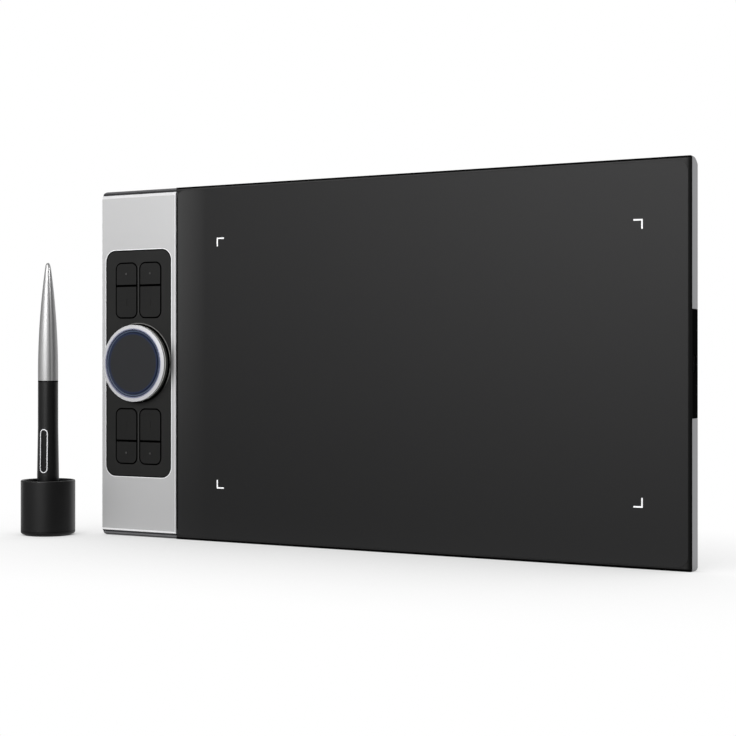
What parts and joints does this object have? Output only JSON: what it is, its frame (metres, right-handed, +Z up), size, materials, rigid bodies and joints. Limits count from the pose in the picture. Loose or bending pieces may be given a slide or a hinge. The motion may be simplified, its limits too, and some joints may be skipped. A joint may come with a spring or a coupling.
{
  "type": "graphics tablet",
  "caption": "Graphics tablet standing on its long edge, with keys and a turning dial in a silver side strip, and its pen upright in a round cup stand",
  "frame": {"origin": "middle of the lower long edge that the tablet stands on, halfway through its thickness", "axes": "+X to the right along the long edge, +Y from the drawing face into the back, +Z up"},
  "size_m": [0.4051, 0.042, 0.201],
  "materials": {
    "silver_metal": "satin, fine brushed",
    "black_housing": "fine matte",
    "black_sheet": "fine matte film",
    "white_print": "printed line",
    "black_key": "fine matte",
    "dial_silver": "satin with a bright cut edge",
    "white_diffuser": "milky, even",
    "touch_face": "fine matte",
    "green_board": "solder mask",
    "black_chip": "matte",
    "steel": "satin",
    "black_steel": "matte",
    "cable_film": "smooth",
    "rubber_black": "matte",
    "rubber_grey": "matte",
    "stand_black": "fine matte",
    "pen_black": "soft matte",
    "pen_silver": "satin",
    "bright_trim": "polished",
    "nib_black": "smooth",
    "ferrite_grey": "matte",
    "copper": "bright"
  },
  "bodies": {
    "tablet": {"back_cover": "silver_metal", "strip_cover": "silver_metal", "front_frame": "black_housing", "work_surface": "black_sheet", "control_panel": "black_housing", "port_block": "black_housing", "usb_c_receptacle": "steel", "rubber_feet": "rubber_black", "cover_screws": "black_steel", "control_board": "green_board", "control_board_screws": "steel", "control_board_plugs": "black_chip", "key_switches": "black_chip", "lower_key_pad": "rubber_grey", "upper_key_pad": "rubber_grey", "detent_spring": "steel", "dial_hub": "black_chip", "hub_nut": "steel", "light_ring": "white_diffuser", "touch_board": "green_board", "touch_disc": "touch_face", "touch_ribbon": "cable_film", "sensor_board": "green_board", "shield_plate": "steel", "sensor_ribbon": "cable_film", "main_board": "green_board", "main_board_parts": "black_chip", "main_board_screws": "steel", "control_ribbon": "cable_film", "stand_foot": "rubber_black", "stand_base": "stand_black", "spare_nibs": "nib_black"},
    "dial": {"dial_ring": "dial_silver", "dial_rotor": "black_chip", "magnet_ring": "steel"},
    "pen_stand_cup": {"stand_cup": "stand_black", "stand_liner": "rubber_grey"},
    "pen": {"pen_nose": "pen_black", "pen_grip": "pen_black", "pen_tail": "pen_silver", "pen_bezel": "bright_trim", "pen_ferrite": "ferrite_grey", "pen_coil": "copper", "pen_pressure_sensor": "black_chip", "pen_board": "green_board", "pen_switches": "black_chip", "pen_rocker_pin": "steel"},
    "pen_nib": {"pen_nib": "nib_black"},
    "pen_rocker": {"pen_rocker": "black_key"},
    "key_1": {"key_1": "black_key"},
    "key_2": {"key_2": "black_key"},
    "key_3": {"key_3": "black_key"},
    "key_4": {"key_4": "black_key"},
    "key_5": {"key_5": "black_key"},
    "key_6": {"key_6": "black_key"},
    "key_7": {"key_7": "black_key"},
    "key_8": {"key_8": "black_key"}
  },
  "joints": [
    {"name": "dial_turn", "type": "hinge", "parent": "tablet", "child": "dial", "pos_m": [-0.15415, -0.008, 0.1005], "axis": [0, 1, 0], "continuous": true},
    {"name": "key_1_press", "type": "slide", "parent": "tablet", "child": "key_1", "axis": [0, 1, 0], "range_m": [0, 0.0004], "stiffness_N_per_m": 1500, "springref_m": -0.0002},
    {"name": "key_2_press", "type": "slide", "parent": "tablet", "child": "key_2", "axis": [0, 1, 0], "range_m": [0, 0.0004], "stiffness_N_per_m": 1500, "springref_m": -0.0002},
    {"name": "key_3_press", "type": "slide", "parent": "tablet", "child": "key_3", "axis": [0, 1, 0], "range_m": [0, 0.0004], "stiffness_N_per_m": 1500, "springref_m": -0.0002},
    {"name": "key_4_press", "type": "slide", "parent": "tablet", "child": "key_4", "axis": [0, 1, 0], "range_m": [0, 0.0004], "stiffness_N_per_m": 1500, "springref_m": -0.0002},
    {"name": "key_5_press", "type": "slide", "parent": "tablet", "child": "key_5", "axis": [0, 1, 0], "range_m": [0, 0.0004], "stiffness_N_per_m": 1500, "springref_m": -0.0002},
    {"name": "key_6_press", "type": "slide", "parent": "tablet", "child": "key_6", "axis": [0, 1, 0], "range_m": [0, 0.0004], "stiffness_N_per_m": 1500, "springref_m": -0.0002},
    {"name": "key_7_press", "type": "slide", "parent": "tablet", "child": "key_7", "axis": [0, 1, 0], "range_m": [0, 0.0004], "stiffness_N_per_m": 1500, "springref_m": -0.0002},
    {"name": "key_8_press", "type": "slide", "parent": "tablet", "child": "key_8", "axis": [0, 1, 0], "range_m": [0, 0.0004], "stiffness_N_per_m": 1500, "springref_m": -0.0002},
    {"name": "pen_stand_twist", "type": "hinge", "parent": "tablet", "child": "pen_stand_cup", "pos_m": [-0.2083, -0.02075, 0.01], "axis": [0, 0, 1], "range_deg": [0, 45]},
    {"name": "pen_lift", "type": "slide", "parent": "pen_stand_cup", "child": "pen", "axis": [0, 0, 1], "range_m": [0, 0.045]},
    {"name": "nib_press", "type": "slide", "parent": "pen", "child": "pen_nib", "axis": [0, 0, 1], "range_m": [0, 0.0005], "stiffness_N_per_m": 1200, "springref_m": -0.0003},
    {"name": "pen_rocker_tilt", "type": "hinge", "parent": "pen", "child": "pen_rocker", "pos_m": [-0.20724, -0.0245, 0.0492], "axis": [0.9627, 0.2706, 0], "range_deg": [-1.8, 1.8], "stiffness_Nm_per_rad": 0.4}
  ]
}
